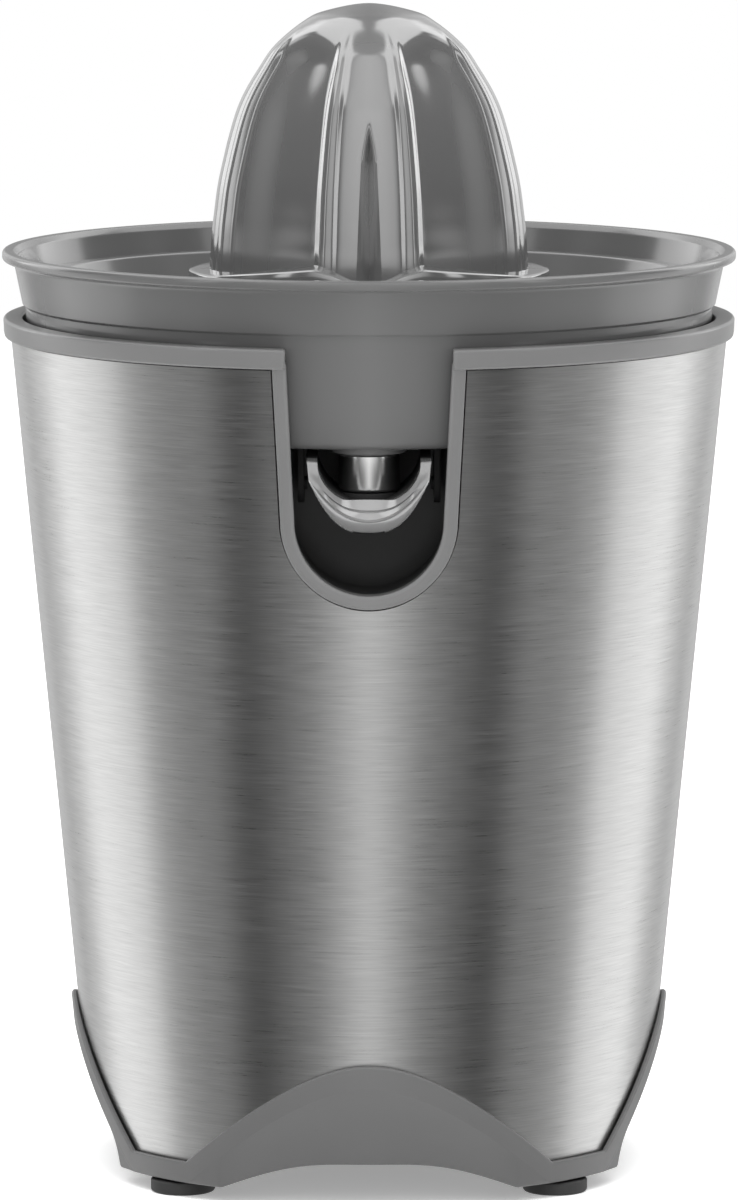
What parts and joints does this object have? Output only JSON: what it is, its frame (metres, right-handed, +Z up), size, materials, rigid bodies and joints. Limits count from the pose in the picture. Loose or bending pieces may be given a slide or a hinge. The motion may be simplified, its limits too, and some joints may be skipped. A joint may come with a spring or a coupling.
{
  "type": "citrus press juicer",
  "caption": "Electric citrus juicer with a steel-clad body, ribbed juicing cone over a strainer and bowl, and a tilting drip spout in a front recess.",
  "frame": {"origin": "centre of the footprint, on the surface that the feet stand on", "axes": "+Z up along the drive shaft, -Y to the front where the spout is, +X to the right as seen from the front"},
  "size_m": [0.17, 0.17, 0.2706],
  "materials": {
    "shell_steel": "horizontally brushed stainless steel",
    "grey_plastic": "satin grey moulded plastic",
    "bowl_plastic": "glossy dark grey moulded plastic",
    "cone_plastic": "high gloss grey moulded plastic",
    "black_plastic": "matt black moulded plastic",
    "rubber": "soft dark rubber",
    "bright_metal": "polished, bright",
    "plated_steel": "zinc plated steel",
    "dark_steel": "varnished laminated steel",
    "copper": "enamelled copper wire",
    "bronze": "sintered bronze",
    "white_plastic": "natural acetal"
  },
  "bodies": {
    "housing": {"base_screw_1": "plated_steel", "base_screw_2": "plated_steel", "base_screw_3": "plated_steel", "base_screw_4": "plated_steel", "base_skirt": "grey_plastic", "bearing_lower": "bronze", "bearing_upper": "bronze", "bottom_cover": "black_plastic", "collar_frame": "grey_plastic", "cord_gland": "rubber", "deck": "black_plastic", "foot_front_left": "rubber", "foot_front_right": "rubber", "foot_rear_left": "rubber", "foot_rear_right": "rubber", "gearbox_cover": "white_plastic", "gearbox_plate": "plated_steel", "gearbox_screw_1": "plated_steel", "gearbox_screw_2": "plated_steel", "gearbox_screw_3": "plated_steel", "idler_pin": "plated_steel", "motor_bolt_1": "plated_steel", "motor_bolt_2": "plated_steel", "motor_bolt_3": "plated_steel", "motor_bolt_4": "plated_steel", "motor_bracket_lower": "plated_steel", "motor_bracket_upper": "plated_steel", "output_bush_lower": "bronze", "output_bush_upper": "bronze", "plate_screw_1": "plated_steel", "plate_screw_2": "plated_steel", "plate_screw_3": "plated_steel", "plate_screw_4": "plated_steel", "shaft_seal": "rubber", "spout_recess": "black_plastic", "stator_stack": "dark_steel", "steel_shell": "shell_steel", "switch_body": "black_plastic", "switch_bracket": "plated_steel", "thrust_spring": "plated_steel", "winding_lower": "copper", "winding_upper": "copper"},
    "motor_rotor": {"rotor": "dark_steel", "motor_shaft": "plated_steel", "motor_pinion": "bronze", "cooling_fan": "black_plastic"},
    "idler": {"compound_gear": "white_plastic"},
    "output": {"output_gear": "white_plastic"},
    "shaft": {"drive_shaft": "plated_steel"},
    "thrust": {"thrust_cup": "white_plastic"},
    "button": {"switch_button": "white_plastic"},
    "cone": {"juicing_cone": "cone_plastic"},
    "bowl": {"juice_bowl": "bowl_plastic", "outlet_nozzle": "bright_metal"},
    "strainer": {"pulp_strainer": "bowl_plastic"},
    "spout": {"drip_spout": "bright_metal", "spout_seal": "rubber"}
  },
  "joints": [
    {"name": "output_spin", "type": "hinge", "parent": "housing", "child": "output", "pos_m": [0, 0, 0.1], "axis": [0, 0, 1], "continuous": true},
    {"name": "idler_spin", "type": "hinge", "parent": "housing", "child": "idler", "pos_m": [-0.02027, 0.02232, 0.1], "axis": [0, 0, 1], "continuous": true},
    {"name": "motor_spin", "type": "hinge", "parent": "housing", "child": "motor_rotor", "pos_m": [0, 0.036, 0.06], "axis": [0, 0, 1], "continuous": true},
    {"name": "shaft_press", "type": "slide", "parent": "output", "child": "shaft", "axis": [0, 0, -1], "range_m": [0, 0.0025], "stiffness_N_per_m": 4000, "springref_m": -0.002, "deforming": ["thrust_spring"]},
    {"name": "cup_press", "type": "slide", "parent": "housing", "child": "thrust", "axis": [0, 0, -1], "range_m": [0, 0.0025]},
    {"name": "button_press", "type": "slide", "parent": "housing", "child": "button", "axis": [0, 0, -1], "range_m": [0, 0.0025]},
    {"name": "cone_lift", "type": "slide", "parent": "shaft", "child": "cone", "axis": [0, 0, 1], "range_m": [0, 0.168]},
    {"name": "bowl_lift", "type": "slide", "parent": "housing", "child": "bowl", "axis": [0, 0, 1], "range_m": [0, 0.056]},
    {"name": "strainer_lift", "type": "slide", "parent": "bowl", "child": "strainer", "axis": [0, 0, 1], "range_m": [0, 0.056]},
    {"name": "spout_tilt", "type": "hinge", "parent": "bowl", "child": "spout", "pos_m": [0, -0.056, 0.1656], "axis": [1, 0, 0], "range_deg": [0, 24]}
  ],
  "couplings": [
    {"joint": "idler_spin", "follows": "output_spin", "ratio": -3},
    {"joint": "motor_spin", "follows": "output_spin", "ratio": 10.5},
    {"joint": "cup_press", "follows": "shaft_press", "ratio": 1},
    {"joint": "button_press", "follows": "shaft_press", "ratio": 1},
    {"joint": "bowl_lift", "follows": "cone_lift", "ratio": 0.33333},
    {"joint": "strainer_lift", "follows": "cone_lift", "ratio": 0.33333}
  ]
}
